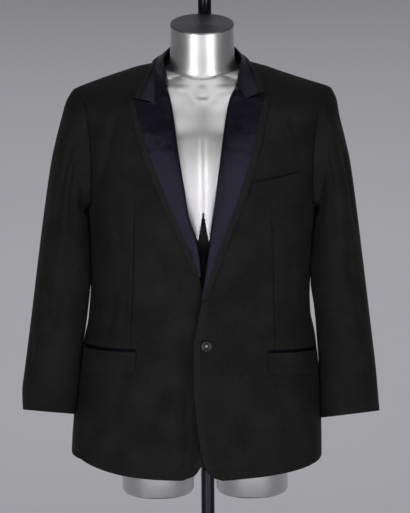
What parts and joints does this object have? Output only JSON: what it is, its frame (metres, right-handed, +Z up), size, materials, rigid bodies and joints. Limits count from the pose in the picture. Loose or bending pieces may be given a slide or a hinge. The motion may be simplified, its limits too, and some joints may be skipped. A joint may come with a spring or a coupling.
{
  "type": "dinner jacket on a limbless dress form and stand",
  "caption": "Single-breasted dinner jacket with peaked satin lapels and ribbon edges, buttoned on a silver limbless dress form on a stand.",
  "frame": {"origin": "centre of the base plate's underside, on the floor, below the middle of the form's neck", "axes": "+Z up, the jacket faces -Y, +X is the wearer's left"},
  "size_m": [0.6648, 0.38, 1.6053],
  "materials": {
    "wool": "matte",
    "satin": "satin",
    "ribbon": "matte",
    "form": "brushed",
    "stand": "polished",
    "cap": "brushed",
    "button": "gloss",
    "button_metal": "polished"
  },
  "bodies": {
    "root": {"back_left": "wool", "back_right": "wool", "base_flange": "stand", "base_plate": "stand", "breast_welt": "wool", "button": "button", "button_boss": "button_metal", "button_ring": "button_metal", "collar": "satin", "collar_ribbon": "ribbon", "flap_left": "wool", "flap_right": "wool", "front_left": "wool", "front_ribbon_left": "ribbon", "front_ribbon_right": "ribbon", "front_right": "wool", "lapel_left": "satin", "lapel_ribbon_left": "ribbon", "lapel_ribbon_right": "ribbon", "lapel_right": "satin", "neck_cap": "cap", "pocket_jet_left": "satin", "pocket_jet_right": "satin", "pole": "stand", "pole_cap": "cap", "pole_clamp": "stand", "side_left": "wool", "side_right": "wool", "sleeve_top_left": "wool", "sleeve_top_right": "wool", "sleeve_under_left": "wool", "sleeve_under_right": "wool", "torso_form": "form"}
  },
  "joints": []
}
